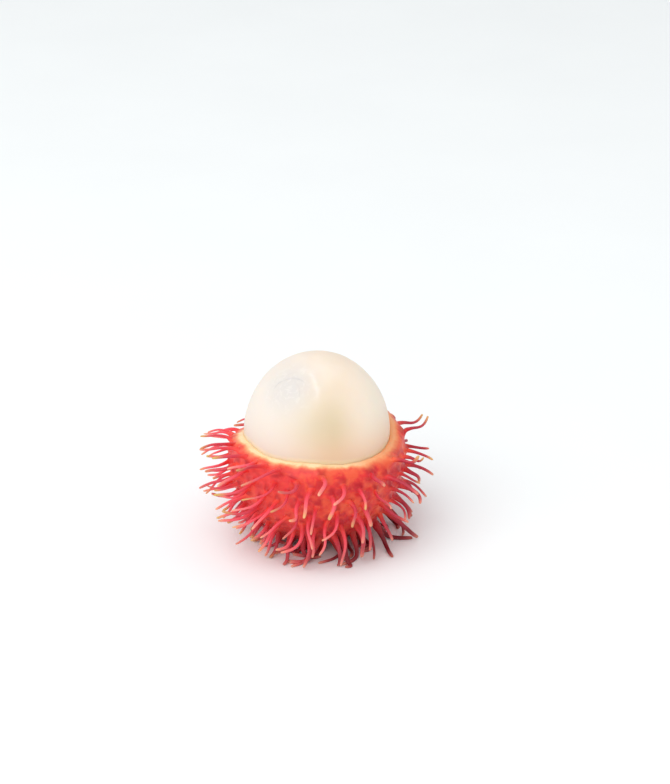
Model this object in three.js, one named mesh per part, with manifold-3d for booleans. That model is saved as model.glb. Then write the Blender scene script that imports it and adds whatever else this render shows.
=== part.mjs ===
// A half-peeled rambutan: a spiny cup of rind with the whole white aril standing in it.
// Millimetres, +Z up. The origin is the centre of the flat spot that the fruit rests on,
// and the fruit's own axis is the Z axis. -Y is its front, and -X is the side to which
// most of the spines are combed.
import * as THREE from "three";
import { mergeVertices } from "three/addons/utils/BufferGeometryUtils.js";
import Module from "manifold-3d";

const wasm = await Module();
wasm.setup();

// The rind, without its spines: an egg shape, pressed flat where it touches the table.
const RIND_RADIUS = 20.4; // outside, at its widest ring
const RIND_DEPTH = 21.5; // from the widest ring to the lower end, before it is pressed flat
const FLATTENING = 0.5; // how far the soft lower end gives way under the fruit's weight
const RIND_WAIST = RIND_DEPTH - FLATTENING; // height of the rind's widest ring

// The torn rim, where the skin rounds over to a thin lip against the aril.
const RIM_HEIGHT = 25.4; // on average
const LIP = 0.7; // thickness of the lip at the very edge
const LIFT_START = 14; // the rind below this height isn't moved by the rim's waves
// The rim goes up and down in waves. Each has its number of crests in one turn, its
// height, and the direction of a crest as an angle from +X.
const RIM_WAVES = [
  { crests: 1, height: 0.58, towards: 0.27 },
  { crests: 2, height: 1.21, towards: 0.88 },
  { crests: 4, height: 0.54, towards: 0.39 },
  { crests: 5, height: 0.38, towards: -0.52 },
];

// The aril, the white flesh, which fills the rind and stands clear of it by a thin gap.
const ARIL_RADIUS = 17.1;
const ARIL_WAIST = 25.8; // height of its widest ring
const ARIL_RISE = 19.1; // from the widest ring up to the top
const ARIL_DEPTH = 22.6; // from the widest ring down to the lower end
const ARIL_FULLNESS = 2.2; // the lower part's exponent, where 2 is an ellipse
const GAP = 0.3; // between the aril and the rind

// The spines, the soft hairs of the rind, set out on a golden-angle spiral.
const SPIRAL_COUNT = 192;
const LOW_CROWDING = 1.14; // above 1, the low ones stand closer together than the high ones
const GATHERING = 0.33; // how much closer they stand on one side than on the other
const SPARSEST = 0.7; // where they stand furthest apart, as an angle from +X
const FRINGE_COUNT = 10; // more of them, in a row close under the rim, on the left
const FRINGE_FROM = 2.8; // the ends of that row, as angles from +X
const FRINGE_TO = 4.25;
const CROWDING = 2.3; // a spine of the spiral isn't this close to one of that row
const SPINE_ROOT_RADIUS = 1.05; // where it flares into the skin
const SPINE_TIP_RADIUS = 0.38;
const TAPER = 3.5; // how fast it thins from its root, where 1 is a plain cone
const SPINE_SINK = 0.5; // how deep the modelled root starts under the skin
const SPINE_LOWEST = 1.6; // the lowest root, because those below it are pressed away
const SPINE_HIGHEST = RIM_HEIGHT - 1.4; // the spiral's highest root, on the shoulder
const FRINGE_HEIGHT = RIM_HEIGHT - 0.9;
const STEEPEST = 0.3; // the most that a spine rises as it leaves the shoulder
const TABLE_EASE = 2.6; // height over which a spine turns level above the table
const TABLE_BITE = 0.12; // how far a spine that lies on the table is pressed flat

// Their lengths. The changes are shares of the usual length.
const SPINE_LENGTH = 8.6;
const LENGTH_SPREAD = 0.2; // how far a spine's length strays from that
const FRONT_LEFT_EXTRA = 0.3; // how much longer the high ones are at the front left
const FRONT_LEFT = -2.2; // the direction of those, as an angle from +X
const FAR_LEFT_LOSS = 0.16; // how much shorter the high ones are at -X
const FAR_RIGHT_LOSS = 0.1; // how much shorter the high ones are at +X
const FRONT_LOSS = 0.1; // how much shorter the high ones are at -Y
const FOCUS = 4; // how quickly these changes fade to the sides
const LOW_LEFT_LOSS = 0.36; // how much shorter the low ones are on the left
const LOW_RIGHT_EXTRA = 0.26; // how much longer the low ones are on the right

// Their habits. Most droop, and their tips hook to the left. Some near the rim on the
// right curl up instead. A bend is in radians, and a hook is how strongly the tip turns.
const COMBED_DOWN = new THREE.Vector3(-0.25, 0, -1); // the way that most spines droop
const COMBED_LEFT = new THREE.Vector3(-1, 0, -0.3); // the same high on the -X side
const DROOPING = { bend: [0.4, 1.3], tip: new THREE.Vector3(-1, -0.2, 0.1), hook: 2.1 };
const CURLING = { bend: [0.8, 1.2], tip: new THREE.Vector3(0, 0, 1), hook: 1.5 };
const CURLING_SHARE = 0.9; // how many of the highest ones on the right curl up
const CURLING_FROM = 17; // height from which they do
const STIFF_RIGHT = 0.5; // how much less the drooping ones at +X bend and hook
const STIFF_LOW = 0.45; // how much less the lowest ones hook
const STEADY_LOW = 0.6; // how much less the lowest ones sway
const SWAY = 0.55; // how far a spine turns to one side and back again on its way

// Where a habit sets in and where it is full. Low is a height, and the sides are the X
// of the level direction, which is -1 at the far left and 1 at the far right.
const LOW = [16, 5];
const LEFT = [0, -0.6];
const RIGHT = [0.45, 0.85];
const STIFF = [0, 0.9];
const LONG = [-0.9, 0.3];

// How far each spine strays from all that.
const ROOT_STRAY_UP = 0.35; // its root along the spiral, in spines
const ROOT_STRAY_ROUND = 0.55; // its root round the fruit
const LEAN_STRAY = 0.25; // its lean as it leaves the skin
const DROOP_STRAY = 0.5; // the turn of its droop
const TIP_STRAY = 0.9; // the turn of its hook, aside and up

// How finely the shapes are cut into flat faces.
const ROUND_SEGMENTS = 36;
const PROFILE_STEPS = 7;
const SHOULDER_STEPS = 3;
const SPINE_SIDES = 4;
const PATH_STEPS = 12; // steps in which a spine's course is worked out
const SPINE_SEGMENTS = 3; // lengths in which its solid is built
const AREA_SLICES = 80; // slices in which the spiny skin's area is measured
const SAME_POINT = 1e-4; // points closer than this are one
const SLAB_WIDTH = 120; // the slab that stands for the table
const SLAB_DEPTH = 10;

const GOLDEN_ANGLE = Math.PI * (3 - Math.sqrt(5));

const mix = (a, b, t) => a + (b - a) * t;
const smooth = (t) => {
  const c = Math.min(1, Math.max(0, t));
  return c * c * (3 - 2 * c);
};
// The share of the way from one value to another, eased in and out.
const ramp = (value, [from, to]) => smooth((value - from) / (to - from));
// A repeatable chance value from 0 to 1 for spine number i. Each use of it has a kind.
const chance = (i, kind) => {
  const s = Math.sin(i * 12.9898 + kind * 78.233) * 43758.5453;
  return s - Math.floor(s);
};
const either = (i, kind) => 2 * chance(i, kind) - 1; // the same from -1 to 1

// --- Shapes that the pieces share ---

// Radius of a superellipse at a share of its height from the widest ring to its end.
const roundedRadius = (radius, share, fullness = 2) =>
  radius * (1 - share ** fullness) ** (1 / fullness);

// Radius of the rind's outside: an ellipse below the widest ring, and a shoulder above it.
const LIP_RADIUS = ARIL_RADIUS + GAP + LIP;
const shoulderRadius = (share) =>
  LIP_RADIUS + roundedRadius(RIND_RADIUS - LIP_RADIUS, share);
const rindRadius = (z) =>
  z < RIND_WAIST
    ? roundedRadius(RIND_RADIUS, (RIND_WAIST - z) / RIND_DEPTH)
    : shoulderRadius(Math.min(1, (z - RIND_WAIST) / (RIM_HEIGHT - RIND_WAIST)));

// How far the torn rim stands above its average height, round the fruit.
const rimLift = (azimuth) =>
  RIM_WAVES.reduce(
    (sum, { crests, height, towards }) =>
      sum + height * Math.cos(crests * (azimuth - towards)),
    0,
  );

// A height on a cup with a level rim, moved to where it is on the torn one.
const lifted = (z, azimuth) =>
  z +
  rimLift(azimuth) * smooth((z - LIFT_START) / (RIM_HEIGHT - LIFT_START));

// Points on a curve that goes from one share of its height to another, at even steps
// of the polar angle, so that they lie evenly along a round curve.
const arc = (from, to, steps, radiusAt, heightAt) =>
  Array.from({ length: steps + 1 }, (_, k) => {
    const share = Math.sin(mix(Math.asin(from), Math.asin(to), k / steps));
    return new THREE.Vector2(radiusAt(share), heightAt(share));
  });

// A profile in (radius, height), turned about the Z axis.
const turned = (profile) =>
  new THREE.LatheGeometry(profile, ROUND_SEGMENTS).rotateX(Math.PI / 2);

const solidOf = (geometry) => {
  const bare = geometry.clone();
  bare.deleteAttribute("normal");
  bare.deleteAttribute("uv");
  const merged = mergeVertices(bare, SAME_POINT);
  return new wasm.Manifold(
    new wasm.Mesh({
      numProp: 3,
      vertProperties: merged.attributes.position.array,
      triVerts: new Uint32Array(merged.index.array),
    }),
  );
};

const geometryOf = (solid) => {
  const mesh = solid.getMesh();
  const geometry = new THREE.BufferGeometry();
  geometry.setAttribute(
    "position",
    new THREE.BufferAttribute(mesh.vertProperties, 3),
  );
  geometry.setIndex(new THREE.BufferAttribute(mesh.triVerts, 1));
  geometry.computeVertexNormals();
  return geometry;
};

// --- The rind's cup ---

function cupGeometry() {
  const outside = arc(
    RIND_WAIST / RIND_DEPTH,
    0,
    PROFILE_STEPS,
    (share) => roundedRadius(RIND_RADIUS, share),
    (share) => RIND_WAIST - RIND_DEPTH * share,
  );
  const shoulder = arc(
    0,
    1,
    SHOULDER_STEPS,
    shoulderRadius,
    (share) => mix(RIND_WAIST, RIM_HEIGHT, share),
  );
  const insideDepth = ARIL_DEPTH + GAP;
  const inside = arc(
    (ARIL_WAIST - RIM_HEIGHT) / insideDepth,
    1,
    PROFILE_STEPS,
    (share) => roundedRadius(ARIL_RADIUS + GAP, share, ARIL_FULLNESS),
    (share) => ARIL_WAIST - insideDepth * share,
  );
  outside[0].y = 0;
  inside[PROFILE_STEPS].x = 0;
  const foot = new THREE.Vector2(0, 0);
  const cup = turned([foot, ...outside, ...shoulder.slice(1), ...inside]);
  const place = cup.attributes.position;
  for (let i = 0; i < place.count; i++) {
    const azimuth = Math.atan2(place.getY(i), place.getX(i));
    place.setZ(i, lifted(place.getZ(i), azimuth));
  }
  return cup;
}

// --- The spines ---

// Height of a root that has this share of the spiny skin's area below it.
const rootHeight = (() => {
  const heights = [SPINE_LOWEST];
  const areas = [0];
  for (let k = 1; k <= AREA_SLICES; k++) {
    const low = heights[k - 1];
    const high = mix(SPINE_LOWEST, SPINE_HIGHEST, k / AREA_SLICES);
    const slant = Math.hypot(high - low, rindRadius(high) - rindRadius(low));
    heights.push(high);
    areas.push(areas[k - 1] + slant * rindRadius((low + high) / 2));
  }
  return (share) => {
    const wanted = share * areas[AREA_SLICES];
    const k = Math.max(1, areas.findIndex((a) => a >= wanted));
    const within = (wanted - areas[k - 1]) / (areas[k] - areas[k - 1]);
    return mix(heights[k - 1], heights[k], within);
  };
})();

// Height and azimuth of root number i. The numbers after the spiral's are the fringe's.
function rootPlace(i) {
  if (i >= SPIRAL_COUNT) {
    const share = (i - SPIRAL_COUNT) / (FRINGE_COUNT - 1);
    return { level: FRINGE_HEIGHT, heading: mix(FRINGE_FROM, FRINGE_TO, share) };
  }
  const even = i * GOLDEN_ANGLE;
  const share = (i + 0.5 + ROOT_STRAY_UP * either(i, 1)) / SPIRAL_COUNT;
  return {
    level: rootHeight(share ** LOW_CROWDING),
    heading: even + GATHERING * Math.sin(even - SPARSEST),
  };
}

// A spine's length by the level direction that it grows in and by how low it is.
function usualLength(round, azimuth, low) {
  const towards = (cosine) => Math.max(0, cosine) ** FOCUS;
  const highExtra =
    FRONT_LEFT_EXTRA * towards(Math.cos(azimuth - FRONT_LEFT)) -
    FAR_LEFT_LOSS * towards(-round.x) -
    FAR_RIGHT_LOSS * towards(round.x) -
    FRONT_LOSS * towards(-round.y);
  const lowExtra = mix(-LOW_LEFT_LOSS, LOW_RIGHT_EXTRA, ramp(round.x, LONG));
  return SPINE_LENGTH * (1 + mix(highExtra, lowExtra, low));
}

// Where spine number i grows from, which way, how long it is and how it bends.
function spineNumber(i) {
  const { level, heading } = rootPlace(i);
  const radius = rindRadius(level);
  const azimuth = heading + (ROOT_STRAY_ROUND * either(i, 2)) / radius;
  const round = new THREE.Vector3(Math.cos(azimuth), Math.sin(azimuth), 0);
  const sideways = new THREE.Vector3(-round.y, round.x, 0);
  const root = round.clone().multiplyScalar(radius);
  root.z = lifted(level, azimuth);
  // The skin leans by its radius's change with height.
  const rise = 0.05;
  const lean = (rindRadius(level - rise) - rindRadius(level + rise)) / (2 * rise);
  const out = round.clone().setZ(Math.min(lean, STEEPEST)).normalize();
  const low = ramp(level, LOW);
  const droop = COMBED_DOWN.clone()
    .lerp(COMBED_LEFT, ramp(round.x, LEFT) * (1 - low))
    .addScaledVector(sideways, DROOP_STRAY * either(i, 3))
    .projectOnPlane(out)
    .normalize();
  const high = ramp(level, [CURLING_FROM, SPINE_HIGHEST]);
  const curls = chance(i, 4) < CURLING_SHARE * high * ramp(round.x, RIGHT);
  const { bend, tip, hook } = curls ? CURLING : DROOPING;
  const limp = curls ? 1 : 1 - STIFF_RIGHT * ramp(round.x, STIFF);
  const hooked = curls ? 1 : limp * chance(i, 7) * (1 - STIFF_LOW * low);
  return {
    root,
    out: out.addScaledVector(sideways, LEAN_STRAY * either(i, 5)).normalize(),
    droop,
    bend: mix(...bend, chance(i, 6)) * limp,
    sway: sideways.clone().multiplyScalar(SWAY * either(i, 13) * (1 - STEADY_LOW * low)),
    tip: tip
      .clone()
      .addScaledVector(sideways, TIP_STRAY * either(i, 9))
      .setZ(tip.z + TIP_STRAY * either(i, 10)),
    hook: hook * hooked,
    length: usualLength(round, azimuth, low) * (1 + LENGTH_SPREAD * either(i, 8)),
  };
}

// The spiral's spines that have room beside the fringe, and the fringe.
function allSpines() {
  const numbered = Array.from({ length: SPIRAL_COUNT + FRINGE_COUNT }, (_, i) =>
    spineNumber(i),
  );
  const fringe = numbered.slice(SPIRAL_COUNT);
  const hasRoom = ({ root }) =>
    fringe.every((other) => other.root.distanceTo(root) > CROWDING);
  return [...numbered.slice(0, SPIRAL_COUNT).filter(hasRoom), ...fringe];
}

const spineRadius = (t) =>
  mix(SPINE_TIP_RADIUS, SPINE_ROOT_RADIUS, (1 - t) ** TAPER);

// A spine's course: straight out of the skin, then drooping and swaying, hooked at the
// end, and level along the table.
function spineCourse({ root, out, droop, bend, sway, tip, hook, length }) {
  const points = [root.clone().addScaledVector(out, -SPINE_SINK)];
  const step = (length + SPINE_SINK) / PATH_STEPS;
  for (let k = 1; k <= PATH_STEPS; k++) {
    const t = (k - 0.5) / PATH_STEPS;
    const way = out
      .clone()
      .multiplyScalar(Math.cos(bend * t))
      .addScaledVector(droop, Math.sin(bend * t))
      .addScaledVector(sway, Math.sin(2 * Math.PI * t))
      .addScaledVector(tip, hook * smooth(2 * t - 1))
      .normalize();
    const here = points[k - 1];
    const room = here.z - spineRadius(t) + TABLE_BITE;
    way.z = Math.max(way.z, -room / TABLE_EASE);
    points.push(here.clone().addScaledVector(way.normalize(), step));
  }
  return points;
}

// A tapered cylinder bent along the course.
function spineGeometry(spine) {
  const stride = PATH_STEPS / SPINE_SEGMENTS;
  const points = spineCourse(spine).filter((_, k) => k % stride === 0);
  const tube = new THREE.CylinderGeometry(1, 1, 1, SPINE_SIDES, SPINE_SEGMENTS);
  const place = tube.attributes.position;
  const rings = points.map((point, k) => {
    const ahead = points[Math.min(k + 1, SPINE_SEGMENTS)]
      .clone()
      .sub(points[Math.max(k - 1, 0)])
      .normalize();
    const turn = new THREE.Quaternion().setFromUnitVectors(
      new THREE.Vector3(0, 1, 0),
      ahead,
    );
    return { point, turn, radius: spineRadius(k / SPINE_SEGMENTS) };
  });
  for (let i = 0; i < place.count; i++) {
    const ring = rings[Math.round((place.getY(i) + 0.5) * SPINE_SEGMENTS)];
    const spoke = new THREE.Vector3(place.getX(i), 0, place.getZ(i))
      .multiplyScalar(ring.radius)
      .applyQuaternion(ring.turn)
      .add(ring.point);
    place.setXYZ(i, spoke.x, spoke.y, spoke.z);
  }
  return tube;
}

// Everything below the table's surface, which the fruit's own weight presses flat.
function belowTable() {
  const slab = new THREE.BoxGeometry(SLAB_WIDTH, SLAB_WIDTH, SLAB_DEPTH);
  slab.translate(0, 0, -SLAB_DEPTH / 2);
  return slab;
}

function rindGeometry() {
  const spines = allSpines().map((spine) => solidOf(spineGeometry(spine)));
  let rind = solidOf(cupGeometry());
  for (const spine of spines) rind = rind.add(spine);
  return geometryOf(rind.subtract(solidOf(belowTable())));
}

// --- The aril ---

function arilGeometry() {
  const bottom = arc(
    1,
    0,
    PROFILE_STEPS,
    (share) => roundedRadius(ARIL_RADIUS, share, ARIL_FULLNESS),
    (share) => ARIL_WAIST - ARIL_DEPTH * share,
  );
  const top = arc(
    0,
    1,
    PROFILE_STEPS,
    (share) => roundedRadius(ARIL_RADIUS, share),
    (share) => ARIL_WAIST + ARIL_RISE * share,
  );
  bottom[0].x = 0;
  top[PROFILE_STEPS].x = 0;
  return turned([...bottom, ...top.slice(1)]);
}

// --- The object ---

const piece = (name, geometry, finish) => {
  const mesh = new THREE.Mesh(geometry, new THREE.MeshStandardMaterial(finish));
  mesh.name = name;
  return mesh;
};

const rambutan = new THREE.Group();
rambutan.add(
  piece("rind", rindGeometry(), {
    color: 0xe04a3c,
    roughness: 0.5,
    metalness: 0,
  }),
  piece("aril", arilGeometry(), {
    color: 0xf3e6d2,
    roughness: 0.35,
    metalness: 0,
  }),
);

export default rambutan;
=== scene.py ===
# %% [markdown]
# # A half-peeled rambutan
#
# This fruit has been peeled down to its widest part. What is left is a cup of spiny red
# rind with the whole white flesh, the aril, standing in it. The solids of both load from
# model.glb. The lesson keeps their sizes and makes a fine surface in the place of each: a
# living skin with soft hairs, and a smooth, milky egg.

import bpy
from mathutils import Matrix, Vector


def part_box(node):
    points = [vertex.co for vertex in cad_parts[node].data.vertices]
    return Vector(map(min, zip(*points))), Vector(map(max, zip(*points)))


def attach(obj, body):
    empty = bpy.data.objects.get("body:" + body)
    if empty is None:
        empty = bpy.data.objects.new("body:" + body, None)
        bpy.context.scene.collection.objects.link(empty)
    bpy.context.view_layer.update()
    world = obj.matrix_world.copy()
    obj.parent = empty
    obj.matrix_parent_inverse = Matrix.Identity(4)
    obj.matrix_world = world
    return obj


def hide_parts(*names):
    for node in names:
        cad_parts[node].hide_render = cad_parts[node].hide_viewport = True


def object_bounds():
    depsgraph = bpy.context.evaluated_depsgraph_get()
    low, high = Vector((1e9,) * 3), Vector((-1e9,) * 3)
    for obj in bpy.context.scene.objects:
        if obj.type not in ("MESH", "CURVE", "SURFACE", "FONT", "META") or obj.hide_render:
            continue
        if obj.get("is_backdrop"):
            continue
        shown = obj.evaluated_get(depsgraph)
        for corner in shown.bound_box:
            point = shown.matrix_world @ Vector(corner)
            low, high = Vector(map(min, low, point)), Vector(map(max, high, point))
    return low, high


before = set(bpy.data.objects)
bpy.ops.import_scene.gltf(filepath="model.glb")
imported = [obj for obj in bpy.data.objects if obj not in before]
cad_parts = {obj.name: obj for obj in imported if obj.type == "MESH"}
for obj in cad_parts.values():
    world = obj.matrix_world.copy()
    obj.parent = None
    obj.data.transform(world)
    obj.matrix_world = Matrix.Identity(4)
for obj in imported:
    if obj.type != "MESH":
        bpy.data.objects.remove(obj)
cad_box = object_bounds()
print("solids:", sorted(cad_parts))

# %% Tools and units
import math

import bmesh
import bpy
from mathutils import Matrix, Vector, noise
from mathutils.kdtree import KDTree

MM = 0.001  # the scene is in metres


def show_mm(label, *lengths):
    """Prints lengths in millimetres after a label."""
    print(label + ", in mm:", ", ".join(f"{length / MM:.1f}" for length in lengths))


show_mm("the solids' box", *(cad_box[1] - cad_box[0]))

# %% [markdown]
# ## The camera
#
# The fruit is small, so it is seen through a long lens from half a metre away, looking
# down at about 26 degrees. A camera could be aimed with a constraint. Here its angles are
# worked out from where the middle of the rim should fall in the picture, a little left of
# the middle and below it, because that keeps the framing exact.

# %% Make the camera
PICTURE_WIDTH, PICTURE_HEIGHT = 670, 784
RIM_AT = (315, 431.5)  # where the middle of the rim's ring falls, from the top left
RIM_CENTRE = Vector((0, 0, 25.5 * MM))
LENS = 100  # mm
SENSOR = 36  # mm, along the picture's height
DISTANCE = 512 * MM
LOOKING_DOWN = math.radians(26)

per_radian = PICTURE_HEIGHT * LENS / SENSOR
aside = math.atan((PICTURE_WIDTH / 2 - RIM_AT[0]) / per_radian)
above = math.atan((RIM_AT[1] - PICTURE_HEIGHT / 2) / per_radian)

camera_data = bpy.data.cameras.new("camera")
camera_data.lens = LENS
camera_data.sensor_width = SENSOR
camera = bpy.data.objects.new("camera", camera_data)
bpy.context.scene.collection.objects.link(camera)
towards_camera = Vector((0, -math.cos(LOOKING_DOWN), math.sin(LOOKING_DOWN)))
camera.location = RIM_CENTRE + towards_camera * DISTANCE
camera.rotation_euler = (math.pi / 2 - LOOKING_DOWN + above, 0, -aside)
bpy.context.scene.camera = camera
show_mm("camera at", *camera.location)

# %% [markdown]
# ## The shape of the rind
#
# The rind is an egg with its top torn off. A few sizes give all of its outline: an ellipse
# below the widest ring, and above that a shoulder that rounds over to a thin lip against
# the flesh. The torn rim goes up and down in slow waves. These are the sizes that the
# solid was built from, so that the new surface lies where the solid's does.

# %% Sizes of the rind
RIND_RADIUS = 20.4 * MM
RIND_DEPTH = 21.5 * MM  # from the widest ring to the lower end, before it is pressed flat
RIND_WAIST = 21 * MM  # height of the widest ring
RIM_HEIGHT = 25.4 * MM
LIP = 0.7 * MM  # thickness of the lip at the very edge
LIFT_START = 14 * MM  # the rind below this height isn't moved by the rim's waves
# Each wave: its crests in one turn, its height in mm, and the direction of a crest
RIM_WAVES = ((1, 0.58, 0.27), (2, 1.21, 0.88), (4, 0.54, 0.39), (5, 0.38, -0.52))
show_mm("rind radius and rim height", RIND_RADIUS, RIM_HEIGHT)

# %% Sizes of the aril
aril_low, aril_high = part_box("aril")
ARIL_RADIUS = (aril_high.x - aril_low.x) / 2
ARIL_WAIST = 25.8 * MM
ARIL_RISE = aril_high.z - ARIL_WAIST
ARIL_DEPTH = ARIL_WAIST - aril_low.z
ARIL_FULLNESS = 2.2  # the lower part's exponent, where 2 is an ellipse
GAP = 0.3 * MM
LIP_RADIUS = ARIL_RADIUS + GAP + LIP
show_mm("aril radius, rise and depth", ARIL_RADIUS, ARIL_RISE, ARIL_DEPTH)

# %% Small helpers for curves


def mix(a, b, t):
    return a + (b - a) * t


def smooth(t):
    """0 to 1, easing in and out."""
    c = min(1, max(0, t))
    return c * c * (3 - 2 * c)


def eased(value, start, full):
    """0 where a value is at its start, easing to 1 where it is full."""
    return smooth((value - start) / (full - start))


def on_circle(radius, angle, z):
    """The point of a level circle at an angle from +X."""
    return Vector((radius * math.cos(angle), radius * math.sin(angle), z))


def rounded_radius(radius, share, fullness=2):
    """Radius at a share of the height from the widest ring to the end."""
    return radius * max(0, 1 - share**fullness) ** (1 / fullness)


print("halfway up an ellipse, the radius is:", round(rounded_radius(1, 0.5), 3))

# %% The rind's outline


def rind_radius(z):
    """Radius of the rind's outside at a height on a cup with a level rim."""
    if z < RIND_WAIST:
        return rounded_radius(RIND_RADIUS, (RIND_WAIST - z) / RIND_DEPTH)
    share = min(1, (z - RIND_WAIST) / (RIM_HEIGHT - RIND_WAIST))
    return LIP_RADIUS + rounded_radius(RIND_RADIUS - LIP_RADIUS, share)


def rim_lift(azimuth):
    """How far the torn rim stands above its average height."""
    return sum(
        height * MM * math.cos(crests * (azimuth - towards))
        for crests, height, towards in RIM_WAVES
    )


def lifted(z, azimuth):
    """A height on a cup with a level rim, moved to where it is on the torn one."""
    return z + rim_lift(azimuth) * eased(z, LIFT_START, RIM_HEIGHT)


lifts = [rim_lift(math.radians(degrees)) for degrees in range(0, 360, 10)]
show_mm("the rim waves from and to", min(lifts), max(lifts))

# %% [markdown]
# ## Where the hairs grow
#
# The hairs, or spines, of a rambutan don't line up in rows, but scattering them at random
# would leave bald spots. A spiral that turns by the golden angle at each step, the way
# that seeds lie in a sunflower, spreads them evenly, and a small stray takes away the
# regular look. On this fruit they also crowd together on one side and low down, and a row
# of them stands close under the torn rim. A sine of the hair's number gives each one its
# own repeatable chances.

# %% How the hairs are spread
SPIRAL_COUNT = 192
GOLDEN_ANGLE = math.pi * (3 - math.sqrt(5))
SPINE_LOWEST = 1.6 * MM
SPINE_HIGHEST = RIM_HEIGHT - 1.4 * MM
LOW_CROWDING = 1.14  # above 1, the lower ones stand closer together than the high ones
GATHERING = 0.33  # how much closer they stand on one side than on the other
SPARSEST = 0.7  # where they stand furthest apart, as an angle from +X
FRINGE_COUNT = 10  # in a row close under the rim, on the left
FRINGE_FROM, FRINGE_TO = 2.8, 4.25  # the row's ends, as angles from +X
FRINGE_HEIGHT = RIM_HEIGHT - 0.9 * MM
CROWDING = 2.3 * MM  # a hair of the spiral isn't this close to one of that row
ROOT_STRAY_UP = 0.35  # how far a root strays along the spiral, in hairs
ROOT_STRAY_ROUND = 0.55 * MM  # how far it strays round the fruit


def chance(i, kind):
    """A repeatable chance value from 0 to 1 for spine number i."""
    s = math.sin(i * 12.9898 + kind * 78.233) * 43758.5453
    return s - math.floor(s)


def either(i, kind):
    """The same from -1 to 1."""
    return 2 * chance(i, kind) - 1


print("hairs of the spiral and of the row:", SPIRAL_COUNT, FRINGE_COUNT)

# %% Heights that share the skin's area evenly
SLICES = 80
slice_heights = [SPINE_LOWEST]
slice_areas = [0.0]
for k in range(1, SLICES + 1):
    low = slice_heights[k - 1]
    high = mix(SPINE_LOWEST, SPINE_HIGHEST, k / SLICES)
    slant = math.hypot(high - low, rind_radius(high) - rind_radius(low))
    slice_heights.append(high)
    slice_areas.append(slice_areas[k - 1] + slant * rind_radius((low + high) / 2))


def root_height(share):
    """Height of a root that has this share of the spiny skin's area below it."""
    wanted = share * slice_areas[SLICES]
    k = next(k for k in range(1, SLICES + 1) if slice_areas[k] >= wanted)
    within = (wanted - slice_areas[k - 1]) / (slice_areas[k] - slice_areas[k - 1])
    return mix(slice_heights[k - 1], slice_heights[k], within)


show_mm("half of the hairs grow below", root_height(0.5))

# %% Where a hair's root is


def root_place(i):
    """Height and heading of root number i. Those after the spiral's are the row's."""
    if i >= SPIRAL_COUNT:
        share = (i - SPIRAL_COUNT) / (FRINGE_COUNT - 1)
        return FRINGE_HEIGHT, mix(FRINGE_FROM, FRINGE_TO, share)
    share = (i + 0.5 + ROOT_STRAY_UP * either(i, 1)) / SPIRAL_COUNT
    heading = i * GOLDEN_ANGLE
    heading += GATHERING * math.sin(heading - SPARSEST)
    return root_height(share**LOW_CROWDING), heading


show_mm("height of the first root", root_place(0)[0])

# %% [markdown]
# ## How the hairs grow
#
# The hairs are longest high at the front left, and the low ones are shorter on the left
# than on the right. Most of them droop and hook to the left, as if they had been combed,
# but some near the rim on the right curl up. One rule for all would look like a brush, so
# every length and every bend is a habit of the hair's own side, plus a stray by chance.

# %% How long a hair is
SPINE_LENGTH = 8.6 * MM
LENGTH_SPREAD = 0.2  # how far a hair's length strays from the usual one
# How much longer the high ones are in some directions, given as angles from +X
HIGH_EXTRAS = ((0.3, -2.2), (-0.16, math.pi), (-0.1, 0), (-0.1, -math.pi / 2))
FOCUS = 4  # how quickly these changes fade to the sides
LOW_LEFT_LOSS = 0.36  # how much shorter the low ones are on the left
LOW_RIGHT_EXTRA = 0.26  # how much longer they are on the right
LONG = (-0.9, 0.3)  # where they start and stop getting longer, as a cosine of the angle


def usual_length(azimuth, low):
    """A hair's length by its direction and by how low it is, from 0 to 1."""
    high_extra = sum(
        extra * max(0, math.cos(azimuth - towards)) ** FOCUS for extra, towards in HIGH_EXTRAS
    )
    low_extra = mix(-LOW_LEFT_LOSS, LOW_RIGHT_EXTRA, eased(math.cos(azimuth), *LONG))
    return SPINE_LENGTH * (1 + mix(high_extra, low_extra, low))


show_mm("usual length of low hairs at -X and +X", usual_length(math.pi, 1), usual_length(0, 1))

# %% How a hair bends
DROOPING = {"bend": (0.4, 1.3), "tip": Vector((-1, -0.2, 0.1)), "hook": 2.1}
CURLING = {"bend": (0.8, 1.2), "tip": Vector((0, 0, 1)), "hook": 1.5}
CURLING_SHARE = 0.9  # how many of the highest ones on the right curl up
CURLING_FROM = 17 * MM  # the height from which they do
COMBED_DOWN = Vector((-0.25, 0, -1))  # the way that most hairs droop
COMBED_LEFT = Vector((-1, 0, -0.3))  # the same high on the left
STEEPEST = 0.3  # the most that a hair rises as it leaves the shoulder
SWAY = 0.55  # how far a hair turns to one side and back again on its way
STEADY_LOW = 0.6  # how much less the lowest ones sway
STIFF_RIGHT = 0.5  # how much less the ones at +X bend and hook
STIFF_LOW = 0.45  # how much less the lowest ones hook
LEAN_STRAY, DROOP_STRAY, TIP_STRAY = 0.25, 0.5, 0.9
# Where a habit sets in and where it is full: low is a height, and the sides are the x of
# the hair's level direction, from -1 at the far left to 1 at the far right
LOW, LEFT, RIGHT, STIFF = (16 * MM, 5 * MM), (0, -0.6), (0.45, 0.85), (0, 0.9)


def on_plane(vector, normal):
    """The part of a vector that lies across a normal, one unit long."""
    return (vector - normal * vector.dot(normal)).normalized()


def skin_lean(level):
    """How much the skin faces up at a height: its radius's change with height."""
    rise = 0.05 * MM
    return (rind_radius(level - rise) - rind_radius(level + rise)) / (2 * rise)


print("the skin's lean under the rim:", round(skin_lean(SPINE_HIGHEST), 2))

# %% One hair's place and habit


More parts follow.
